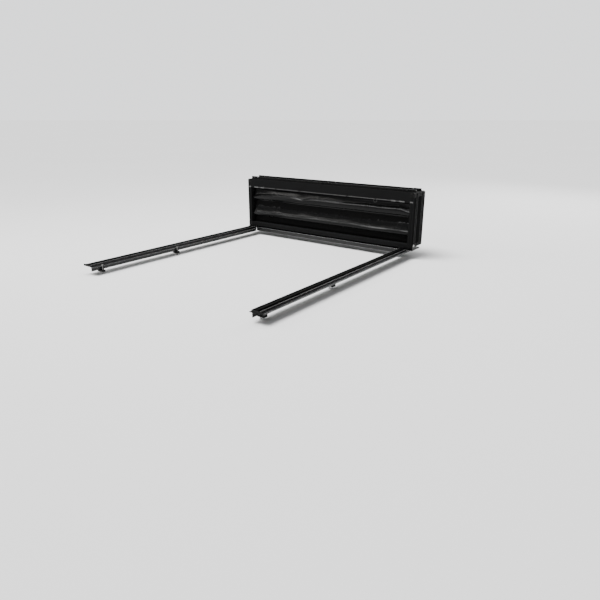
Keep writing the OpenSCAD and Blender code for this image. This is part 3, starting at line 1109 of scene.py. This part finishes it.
    def turn_down(self, shape: Shape, layer: bmesh.types.BMLayerItem) -> None:
        """Turns the cover's edge down over the frame.

        Args:
            shape: The cover, in its own flat space.
            layer: The cut's UV layer.
        """
        mesh = shape.mesh
        rounding = ((self.turn * 0.7, 0.0006), (self.turn * 0.3, 0.0024))
        leg = ((0.0, self.hem * 0.45), (0.0, self.hem * 0.35))
        for out, down in rounding + leg:
            rim = [e for e in mesh.edges if e.is_boundary]
            new = bmesh.ops.extrude_edge_only(mesh, edges=rim)["geom"]
            for vert in (g for g in new if isinstance(g, bmesh.types.BMVert)):
                away = self.outward(vert.co.x, vert.co.y)
                vert.co += away * out + Vector((0, 0, -down))
        for face in mesh.faces:
            for loop in face.loops:
                spot = loop.vert.co
                edge = self.outward(spot.x, spot.y)
                low = max(0.0, -spot.z) if edge.length and self.on_rim(spot) else 0.0
                loop[layer].uv = (spot + edge * low).xy

    def on_rim(self, spot: Vector) -> bool:
        """Whether a place is on the turned-down edge."""
        return self.panel.half_w - abs(spot.x) < 1e-4 or self.panel.length / 2 - abs(spot.y) < 1e-4


@dataclass
class FinishSteps:
    """The live modifiers that finish a soft piece."""

    smooth: int = 1
    wall: float = 0.0
    inside: int = 0

    def apply(self, piece: bpy.types.Object) -> None:
        """Adds them to the piece."""
        if self.smooth:
            rounder = piece.modifiers.new("smooth", "SUBSURF")
            rounder.levels = rounder.render_levels = self.smooth
        if self.wall:
            wall = piece.modifiers.new("wall", "SOLIDIFY")
            wall.thickness = self.wall
            wall.offset = 0.0
            wall.material_offset = self.inside


@dataclass
class BowSleeve:
    """The loose vinyl sleeve that holds a bow: a long flap above it and a tuck below."""

    panel: Panel
    which: int
    half_w: float = 0.864
    cell: float = 0.010
    cloth_t: float = 0.0008
    skin_h: float = 0.0436
    sweep: float = 0.0
    left_drop: float = 0.0
    dimple: float = 0.0
    lip: float = 0.0
    right_flat: float = 0.0
    fold_at: float = 0.012
    lip_at: float = 0.0125
    lip_w: float = 0.0075
    dimple_at: float = -0.25
    dimple_w: float = 0.07
    end_run: float = 0.10
    drop_run: float = 0.22
    flap: tuple[tuple[float, float], ...] = (
        (0.086, 0.0003), (0.074, 0.0014), (0.060, 0.0040), (0.046, 0.0076),
        (0.034, 0.0114), (0.0245, 0.0158), (0.0170, 0.0212), (0.0115, 0.0252),
        (0.0060, 0.0268), (-0.001, 0.0268), (-0.0080, 0.0256), (-0.0125, 0.0218),
        (-0.0150, 0.0155), (-0.0175, 0.0085), (-0.022, 0.0028), (-0.030, 0.0003),
    )

    def wander(self, x: float) -> float:
        """How far the sleeve's crease strays up from the bow, along the bow.

        Args:
            x: The place across.

        Returns:
            The distance in metres.
        """
        phase = 1.9 * self.panel.number + 2.6 * self.which
        waves = 0.0022 * math.sin(4.3 * x + phase) + 0.0012 * math.sin(13.7 * x + 2 * phase)
        dimple = self.dimple * math.exp(-(((x - self.dimple_at) / self.dimple_w) ** 2))
        return self.sweep - dimple + waves

    def flatness(self, x: float, rise: float) -> float:
        """How much the long flap lies flat on the skin, above the bow and to the right.

        Args:
            x: The place across.
            rise: The distance above the bow.

        Returns:
            0 for its full depth, and more where it is flatter.
        """
        over = eased((rise - self.fold_at) / 0.030)
        return self.right_flat * over * eased((x - self.dimple_at) / 0.75)

    def build(self, finish: bpy.types.Material) -> bpy.types.Object:
        """Builds the sleeve.

        Args:
            finish: Its material.

        Returns:
            The piece.
        """
        panel = self.panel
        shape = Shape()
        steps = len(self.flap) - 1
        bmesh.ops.create_grid(
            shape.mesh, x_segments=round(2 * self.half_w / self.cell), y_segments=steps,
            size=1.0, matrix=Matrix.Diagonal((self.half_w, 1, 1, 1)),
        )
        layer = shape.mesh.loops.layers.uv.new(UV_CUT)
        run = [0.0]
        for (a, d), (b, e) in zip(self.flap, self.flap[1:]):
            run.append(run[-1] + math.hypot(b - a, e - d))
        rows = {v: round((1 - v.co.y) / 2 * steps) for v in shape.mesh.verts}
        for face in shape.mesh.faces:
            for loop in face.loops:
                loop[layer].uv = (loop.vert.co.x, run[rows[loop.vert]])
        bow = panel.bows[self.which]
        top, foot = self.flap[0][0], self.flap[-1][0]
        for vert, row in rows.items():
            rise, depth = self.flap[row]
            x = vert.co.x
            free = math.sin(math.pi * min(1.0, max(0.0, (top - rise) / (top - foot))))
            pull = 0.25 + 0.75 * eased((self.half_w - abs(x)) / self.end_run)
            drop = self.left_drop * math.exp(-(x + self.half_w) / self.drop_run)
            shift = (self.wander(x) * pull - drop) * (free if rise > 0.0 else 0.35 * free)
            coarse = Vector((x * 6.0, rise * 34.0, 3.1 * panel.number + self.which))
            fine = Vector((x * 19.0 + 7, rise * 60.0, 5.7 * panel.number + self.which))
            ripple = 0.0022 * noise.noise(coarse) + 0.0005 * noise.noise(fine)
            loose = free * (rise > self.fold_at)
            crease = math.exp(-(((rise - self.lip_at) / self.lip_w) ** 2))
            crease *= self.lip / (1.0 + math.exp(6.0 * (x + 0.10)))
            full = 1 - self.flatness(x, rise)
            proud = depth * full + crease + loose * full * ripple
            s = bow + panel.up * (rise + shift)
            vert.co = Vector((x, -s, self.skin_h - proud))
        shape.mesh.transform(panel.place)
        name = f"{panel.body}_bow_sleeve_{self.which + 1}"
        piece = shape.become(name, finish, panel.body, sharp=180.0, closed=False)
        FinishSteps(smooth=1, wall=self.cloth_t).apply(piece)
        return piece


@dataclass
class CornerScrews:
    """Two screws through the underside of each moulded corner."""

    panel: Panel
    places: tuple[tuple[float, float], ...] = ((0.011, 0.025), (0.028, 0.011))

    def build(self, finish: bpy.types.Material) -> bpy.types.Object:
        """Builds all eight heads.

        Args:
            finish: Their material.

        Returns:
            The heads as one piece.
        """
        shape = Shape()
        turn = self.panel.place.to_3x3()
        for side in (-1, 1):
            for rear in (False, True):
                for across, along in self.places:
                    s = self.panel.length - along if rear else along
                    spot = self.panel.place @ Vector((side * (self.panel.half_w - across), -s, 0))
                    PanScrew().add(shape, spot, turn @ Vector((0, 0, -1)))
        return shape.become(f"{self.panel.body}_corner_screws", finish, self.panel.body)


@dataclass
class RetainerFittings:
    """The bright end plates of the first panel's retainer, and the oval ring on its last clip."""

    panel: Panel
    plate_t: float = 0.0014
    plate_h: float = 0.011
    ring_wire: float = 0.0017
    ring_r: float = 0.0125
    ring_wide: float = 1.25
    runs: tuple[tuple[float, float], ...] = ((0.700, 0.742), (0.872, 0.900))
    hub: float = 0.776

    def build_plates(self, finish: bpy.types.Material) -> bpy.types.Object:
        """Builds the short plates that hold the retainer's ends.

        Args:
            finish: Their material.

        Returns:
            The plates as one piece.
        """
        low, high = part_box("panel_1_retainer")
        middle = (low.z + high.z) / 2
        shape = Shape()
        for side in (-1, 1):
            for start, stop in (self.runs[0], (self.hub, high.x + 0.004), self.runs[1]):
                x0, x1 = sorted((side * start, side * stop))
                front = low.y if stop < 0.85 else high.y
                foot = Vector((x0, front - self.plate_t, middle - self.plate_h / 2))
                shape.block(foot, Vector((x1, front, middle + self.plate_h / 2)), 0.0006)
                for across in (x0 + 0.008, x1 - 0.008):
                    spot = Vector((across, front - self.plate_t, middle))
                    PanScrew(head_r=0.0034, head_h=0.0014).add(shape, spot, Vector((0, -1, 0)))
        return shape.become("panel_1_retainer_plates", finish, "panel_1")

    def build_ring(self, finish: bpy.types.Material) -> bpy.types.Object:
        """Builds the oval ring that hangs in the last clip.

        Args:
            finish: Its material.

        Returns:
            The ring.
        """
        low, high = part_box("panel_1_clips")
        centre = Vector((high.x - 0.007, low.y + 0.0015, low.z - 0.006))
        shape = Shape()
        frame = Matrix.Translation(centre + Vector((self.ring_r, 0, 0)))
        wire = bmesh.ops.create_circle(
            shape.mesh, segments=10, radius=self.ring_wire, matrix=frame
        )["verts"]
        edges = list(dict.fromkeys(e for v in wire for e in v.link_edges))
        bmesh.ops.spin(
            shape.mesh, geom=wire + edges, cent=centre, axis=(0, 1, 0), angle=2 * math.pi,
            steps=36, use_merge=True, use_duplicate=False,
        )
        bmesh.ops.remove_doubles(shape.mesh, verts=shape.mesh.verts, dist=1e-6)
        bmesh.ops.scale(
            shape.mesh, vec=(self.ring_wide, 1, 1), verts=shape.mesh.verts,
            space=Matrix.Translation(-centre),
        )
        return shape.become("panel_1_stow_ring", finish, "panel_1")


# ------------------------------------------------------------------ the folds


@dataclass
class FoldFlap:
    """A strip of vinyl over a top fold, between two hinges, made in the fold's bent shape."""

    name: str
    front: str
    rear: str
    axis: Vector
    x0: float
    x1: float
    radius: float = 0.0036
    leg: float = 0.036
    cell: float = 0.013
    cloth_t: float = 0.0008

    def build(self, finish: bpy.types.Material) -> bpy.types.Object:
        """Builds the strip.

        Args:
            finish: Its material.

        Returns:
            The piece, over the fold and on no body.
        """
        arc = math.pi * self.radius
        legs, bends = 5, 8
        stops = [(-1, i / legs) for i in range(legs)] + [(0, i / bends) for i in range(bends + 1)]
        stops += [(1, i / legs) for i in range(1, legs + 1)]
        shape = Shape()
        middle, half = (self.x0 + self.x1) / 2, (self.x1 - self.x0) / 2
        rows_n = len(stops) - 1
        frame = Matrix.Translation((middle, 0, 0)) @ Matrix.Diagonal((half, 1, 1, 1))
        bmesh.ops.create_grid(
            shape.mesh, x_segments=round(2 * half / self.cell), y_segments=rows_n,
            size=1.0, matrix=frame,
        )
        layer = shape.mesh.loops.layers.uv.new(UV_CUT)
        rows = {v: round((1 - v.co.y) / 2 * rows_n) for v in shape.mesh.verts}
        run = {}
        for vert, row in rows.items():
            kind, t = stops[row]
            x = vert.co.x
            if kind < 0:
                y, z, run[row] = -self.radius, -self.leg * (1 - t), self.leg * t
            elif kind == 0:
                y, z = -self.radius * math.cos(math.pi * t), self.radius * math.sin(math.pi * t)
                run[row] = self.leg + arc * t
            else:
                y, z, run[row] = self.radius, -self.leg * t, self.leg * (1 + t) + arc
            puff = 0.0007 * noise.noise(Vector((x * 9.0, z * 40.0, self.axis.y * 30))) if kind == 0 else 0.0
            vert.co = self.axis + Vector((x, y, z + puff))
        for face in shape.mesh.faces:
            for loop in face.loops:
                loop[layer].uv = (loop.vert.co.x, run[rows[loop.vert]])
        piece = shape.become(self.name, finish, "", sharp=180.0, closed=False)
        FinishSteps(smooth=1, wall=self.cloth_t).apply(piece)
        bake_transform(piece)
        return piece


@dataclass
class Hinges:
    """The rivets of one fold's leaves."""

    fold: int
    width: float = 0.072
    leaf_t: float = 0.0025
    rivet_r: float = 0.0038
    rivet_h: float = 0.0010
    reach: float = 0.033
    spread: float = 0.022
    fold_gap: float = 0.008

    @property
    def crest(self) -> bool:
        """Whether the fold is on top of the stack."""
        return self.fold % 2 == 1

    def build(self, finish: bpy.types.Material, rear: bool) -> bpy.types.Object:
        """Builds the rivets of the front or rear leaves.

        Args:
            finish: Their material.
            rear: Whether they are on the panel behind.

        Returns:
            The rivets as one piece.
        """
        side = "rear" if rear else "front"
        _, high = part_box(f"hinge_{self.fold}_{side}_leaves")
        pin_low, pin_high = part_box(f"hinge_{self.fold}_pins")
        axis = (pin_low + pin_high) / 2
        outer = high.x - self.width / 2
        away = 1.0 if rear else -1.0
        gap = self.fold_gap / 2 - self.leaf_t
        down = -1.0 if self.crest else 1.0
        shape = Shape()
        for x in (-outer, 0.0, outer):
            for step in (-self.spread, self.spread):
                face_y = axis.y + away * gap
                centre = Vector((x + step, face_y - away * self.rivet_h / 2, axis.z + down * self.reach))
                shape.rod(centre, Axis.Y, self.rivet_r, self.rivet_h, sides=20, chamfer=0.0003)
        panel = f"panel_{self.fold + 1 if rear else self.fold}"
        return shape.become(f"hinge_{self.fold}_{side}_rivets", finish, panel)


@dataclass
class FoldBulb:
    """The rubber bulb that closes the gap of the lower fold when the cover is flat."""

    radius: float = 0.0052
    runs: tuple[tuple[float, float], ...] = (
        (-0.905, -0.780), (-0.690, -0.045), (0.045, 0.690), (0.780, 0.905),
    )

    def build(self, finish: bpy.types.Material) -> bpy.types.Object:
        """Builds the bulb in its runs between the hinges.

        Args:
            finish: Its material.

        Returns:
            The piece.
        """
        low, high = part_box("panel_2_rear_bar")
        shape = Shape()
        for start, stop in self.runs:
            y, z = (low.y + high.y) / 2 + 0.004, low.z - self.radius + 0.0004
            centre = Vector(((start + stop) / 2, y, z))
            shape.rod(centre, Axis.X, self.radius, stop - start, sides=20, chamfer=0.0012)
            foot = Vector((start, centre.y - 0.010, low.z - 0.0016))
            shape.block(foot, Vector((stop, centre.y + 0.010, low.z)), 0.0006)
        return shape.become("fold_2_bulb", finish, "panel_2")


# ------------------------------------------------------------ rails and clamps


@dataclass
class ClampBolt:
    """A flanged hex bolt with a rolled thread, in place of the plain packed bolt."""

    name: str
    flange_r: float = 0.0092
    flange_t: float = 0.0013
    core_r: float = 0.0034
    thread_r: float = 0.0040
    pitch: float = 0.00125
    per_turn: int = 12
    plain: float = 0.004

    def build(self, finish: bpy.types.Material) -> bpy.types.Object:
        """Builds the bolt.

        Args:
            finish: Its material.

        Returns:
            The piece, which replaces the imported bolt.
        """
        node = f"clamp_bolt_{self.name}"
        low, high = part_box(node)
        centre = (low + high) / 2
        flat = Vector((centre.x, centre.y, 0))
        hex_r = (high.y - low.y) / 2
        shape = Shape()
        spot = flat + Vector((0, 0, self.flange_t / 2 + 0.0001))
        shape.rod(spot, Axis.Z, self.flange_r, self.flange_t, 32, 0.0005)
        head = high.z - self.flange_t
        spot = flat + Vector((0, 0, self.flange_t + head / 2))
        shape.rod(spot, Axis.Z, hex_r * 0.97, head, 6, 0.0006)
        shank = -low.z
        spot = flat + Vector((0, 0, -shank / 2 + 0.0005))
        shape.rod(spot, Axis.Z, self.core_r, shank - 0.001, 20, 0.0010)
        turns = int((shank - self.plain - 0.003) / self.pitch)
        root = low.z + 0.002
        valley = self.core_r - 0.0001
        profile = [(valley, 0.0), (self.thread_r, 0.5), (valley, 1.0)]
        spots = [flat + Vector((r, 0, root + f * self.pitch)) for r, f in profile]
        verts = [shape.mesh.verts.new(spot) for spot in spots]
        edges = [shape.mesh.edges.new(pair) for pair in zip(verts, verts[1:])]
        bmesh.ops.spin(
            shape.mesh, geom=verts + edges, cent=flat, axis=(0, 0, 1), angle=2 * math.pi * turns,
            steps=self.per_turn * turns, dvec=(0, 0, self.pitch / self.per_turn),
            use_merge=False, use_duplicate=False,
        )
        bmesh.ops.remove_doubles(shape.mesh, verts=shape.mesh.verts, dist=1e-5)
        piece = shape.become(f"{node}_threaded", finish, node)
        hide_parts(node)
        return piece


@dataclass
class JawPad:
    """The ribbed rubber pad on a clamp jaw's tooth."""

    name: str
    tooth_w: float = 0.010
    grip_z: float = -0.036
    inset: float = 0.001
    thick: float = 0.0016
    ribs: int = 6

    def build(self, finish: bpy.types.Material) -> bpy.types.Object:
        """Builds the pad.

        Args:
            finish: Its material.

        Returns:
            The piece.
        """
        body = f"clamp_jaw_{self.name}"
        low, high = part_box(body)
        side = -1 if "left" in self.name else 1
        outer = low.x if side < 0 else high.x
        x0, x1 = sorted((outer - side * self.inset, outer - side * (self.tooth_w - self.inset)))
        top = self.grip_z
        shape = Shape()
        far = Vector((x1, high.y - self.inset, top + self.thick * 0.6))
        shape.block(Vector((x0, low.y + self.inset, top)), far, 0.0004)
        step = (high.y - low.y - 0.006) / (self.ribs - 1)
        for i in range(self.ribs):
            y = low.y + 0.003 + i * step
            far = Vector((x1 - 0.0008, y + 0.001, top + self.thick))
            shape.block(Vector((x0 + 0.0008, y - 0.001, top)), far, 0.0004)
        return shape.become(f"{body}_pad", finish, body)


@dataclass
class CabFittings:
    """The bolts in the pivot brackets' feet and along the cab rail."""

    foot_half: float = 0.017
    head_r: float = 0.0058
    head_h: float = 0.0040
    washer_t: float = 0.0012
    screws: int = 9
    screw_end: float = 0.12
    flange_t: float = 0.006

    def build(self, zinc: bpy.types.Material, dark: bpy.types.Material) -> list[bpy.types.Object]:
        """Builds the bolts and screws.

        Args:
            zinc: The bolts' material.
            dark: The screws' material.

        Returns:
            The pieces.
        """
        low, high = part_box("pivot_brackets")
        _, plate_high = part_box("cab_rail")
        top = low.z + 0.003
        shape = Shape()
        for side in (-1, 1):
            for y in (high.y - 0.010, high.y - 0.040):
                foot = Vector((side * (high.x - 0.006 - self.foot_half), y, top))
                spot = foot + Vector((0, 0, self.washer_t / 2))
                shape.rod(spot, Axis.Z, self.head_r * 1.45, self.washer_t, 28, 0.0004)
                spot = foot + Vector((0, 0, self.washer_t + self.head_h / 2))
                shape.rod(spot, Axis.Z, self.head_r, self.head_h, 6, 0.0006)
        bolts = shape.become("pivot_bracket_bolts", zinc, "rails")
        shape = Shape()
        for i in range(self.screws):
            x = (plate_high.x - self.screw_end) * (2 * i / (self.screws - 1) - 1)
            spot = Vector((x, plate_high.y - 0.022, self.flange_t))
            PanScrew(head_r=0.0048, head_h=0.0024).add(shape, spot, Vector((0, 0, 1)))
        return [bolts, shape.become("cab_rail_screws", dark, "rails")]


@dataclass
class LatchScrews:
    """The screws that hold the latch housings to the last panel."""

    half_w: float = 0.020
    inner_x: float = 0.716
    lift: float = 0.006

    def build(self, finish: bpy.types.Material) -> bpy.types.Object:
        """Builds two heads on each housing's base.

        Args:
            finish: Their material.

        Returns:
            The heads as one piece.
        """
        low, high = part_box("latch_housings")
        middle = (high.x + self.inner_x) / 2
        shape = Shape()
        for side in (-1, 1):
            for x in (middle - self.half_w, middle + self.half_w):
                spot = Vector((side * x, low.y, high.z + self.lift))
                PanScrew().add(shape, spot, Vector((0, 1, 0)))
        return shape.become("latch_screws", finish, "panel_4")


# --------------------------------------------------------------------- studio


@dataclass
class SoftLight:
    """A large soft lamp."""

    name: str
    place: Vector
    aim: Vector
    size: float
    power: float
    tint: tuple[float, float, float] = (1.0, 1.0, 1.0)

    def hang(self) -> None:
        """Makes the lamp and turns it to its aim."""
        lamp = bpy.data.lights.new(self.name, "AREA")
        lamp.shape = "DISK"
        lamp.size = self.size
        lamp.energy = self.power
        lamp.color = self.tint
        holder = bpy.data.objects.new(self.name, lamp)
        holder.location = self.place
        holder.rotation_mode = "QUATERNION"
        holder.rotation_quaternion = (self.aim - self.place).to_track_quat("-Z", "Y")
        bpy.context.scene.collection.objects.link(holder)


@dataclass
class Studio:
    """The camera, the pale floor and the soft lights."""

    eye: Vector = field(default_factory=lambda: Vector((2.74, -4.10, 1.07)))
    azimuth: float = 36.7
    elevation: float = 19.2
    lens: float = 31.5
    floor_half: float = 300.0
    fill: float = 0.36
    backdrop: float = 1.72

    def set_up(self, finish: bpy.types.Material, floor_z: float) -> None:
        """Makes everything that isn't the cover.

        Args:
            finish: The floor's material.
            floor_z: The floor's height.
        """
        camera = bpy.data.cameras.new("camera")
        camera.lens = self.lens
        camera.sensor_width = 36.0
        camera.clip_end = 200.0
        holder = bpy.data.objects.new("camera", camera)
        a, e = math.radians(self.azimuth), math.radians(self.elevation)
        back = Vector((math.sin(a) * math.cos(e), -math.cos(a) * math.cos(e), math.sin(e)))
        holder.location = self.eye
        holder.rotation_mode = "QUATERNION"
        holder.rotation_quaternion = (-back).to_track_quat("-Z", "Y")
        bpy.context.scene.collection.objects.link(holder)
        bpy.context.scene.camera = holder
        ground = bmesh.new()
        bmesh.ops.create_grid(ground, x_segments=2, y_segments=2, size=self.floor_half,
                              matrix=Matrix.Translation((0, 0, floor_z)))
        data = bpy.data.meshes.new("studio_floor")
        ground.to_mesh(data)
        ground.free()
        data.materials.append(finish)
        floor = bpy.data.objects.new("studio_floor", data)
        bpy.context.scene.collection.objects.link(floor)
        floor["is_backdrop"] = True
        self.sky()
        aim = Vector((0, -0.4, 0.25))
        self.daylight("window_sun", Vector((-0.55, -0.62, 1.9)), 5.7, 34.0)
        SoftLight("overhead", Vector((-0.9, -1.1, 3.4)), aim, 1.6, 60.0).hang()
        SoftLight("left_key", Vector((-3.9, -3.9, 3.1)), aim, 1.3, 80.0, (1.0, 0.98, 0.95)).hang()
        SoftLight("cab_side", Vector((1.5, 4.5, 3.0)), aim, 3.0, 120.0).hang()

    def sky(self) -> None:
        """Makes the even surrounding light, and the pale backdrop that meets the floor."""
        world = bpy.data.worlds.new("studio_sky")
        world.use_nodes = True
        tree = world.node_tree
        tree.nodes.clear()
        strengths = (self.fill, self.backdrop)
        lamps = []
        for strength in strengths:
            lamp = tree.nodes.new("ShaderNodeBackground")
            lamp.inputs["Color"].default_value = (0.98, 0.99, 1.0, 1.0)
            lamp.inputs["Strength"].default_value = strength
            lamps.append(lamp)
        choice = tree.nodes.new("ShaderNodeMixShader")
        tree.links.new(tree.nodes.new("ShaderNodeLightPath").outputs["Is Camera Ray"], choice.inputs[0])
        tree.links.new(lamps[0].outputs[0], choice.inputs[1])
        tree.links.new(lamps[1].outputs[0], choice.inputs[2])
        tree.links.new(choice.outputs[0], tree.nodes.new("ShaderNodeOutputWorld").inputs["Surface"])
        bpy.context.scene.world = world

    def daylight(self, name: str, source: Vector, strength: float, spread: float) -> None:
        """Hangs the broad even light that reaches the whole floor.

        Args:
            name: The lamp's name.
            source: The way it comes from.
            strength: Its strength.
            spread: How wide it looks, in degrees.
        """
        lamp = bpy.data.lights.new(name, "SUN")
        lamp.energy = strength
        lamp.angle = math.radians(spread)
        holder = bpy.data.objects.new(name, lamp)
        holder.rotation_mode = "QUATERNION"
        holder.rotation_quaternion = source.to_track_quat("Z", "Y")
        bpy.context.scene.collection.objects.link(holder)


# ----------------------------------------------------------------------- main


def main() -> None:
    """Builds the cover in order."""
    logging.basicConfig(level=logging.INFO, format="%(name)s: %(message)s")
    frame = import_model()
    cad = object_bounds()
    Studio().set_up(StudioGround().make(), cad[0].z - 0.001)
    finishes = Finishes()
    finishes.dress(frame["nodes"], frame["record"])
    panels = [Panel(number) for number in (1, 2, 3, 4)]
    for panel in panels:
        cell = 0.010 if panel.number == 1 else 0.0125
        PanelCover(panel, cell=cell).build(finishes.cover, finishes.backing)
        if panel.number == 1:
            BowSleeve(panel, 0, lip=0.0022).build(finishes.cloth)
            upper = BowSleeve(
                panel, 1, sweep=0.019, left_drop=0.017, dimple=0.014, lip=0.0050, right_flat=0.75
            )
            upper.build(finishes.cloth)
        else:
            for which in (0, 1):
                BowSleeve(panel, which, cell=0.014).build(finishes.cloth)
        CornerScrews(panel).build(finishes.hinge)
    fittings = RetainerFittings(panels[0])
    fittings.build_plates(finishes.plate)
    fittings.build_ring(finishes.bracket)
    for fold in (1, 3):
        low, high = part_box(f"hinge_{fold}_pins")
        axis = Vector((0, (low.y + high.y) / 2, (low.z + high.z) / 2))
        for side, x0, x1 in (("left", -0.820, -0.040), ("right", 0.040, 0.820)):
            name = f"fold_{fold}_flap_{side}"
            flap = FoldFlap(name, f"panel_{fold}", f"panel_{fold + 1}", axis, x0, x1)
            flap.build(finishes.cloth)
    for fold in (1, 2, 3):
        for rear in (False, True):
            Hinges(fold).build(finishes.zinc, rear)
    FoldBulb().build(finishes.rubber)
    for name in ("left_mid", "left_rear", "right_mid", "right_rear"):
        ClampBolt(name).build(finishes.zinc)
        JawPad(name).build(finishes.rubber)
    CabFittings().build(finishes.zinc, finishes.hinge)
    LatchScrews().build(finishes.zinc)


if __name__ == "__main__":
    main()
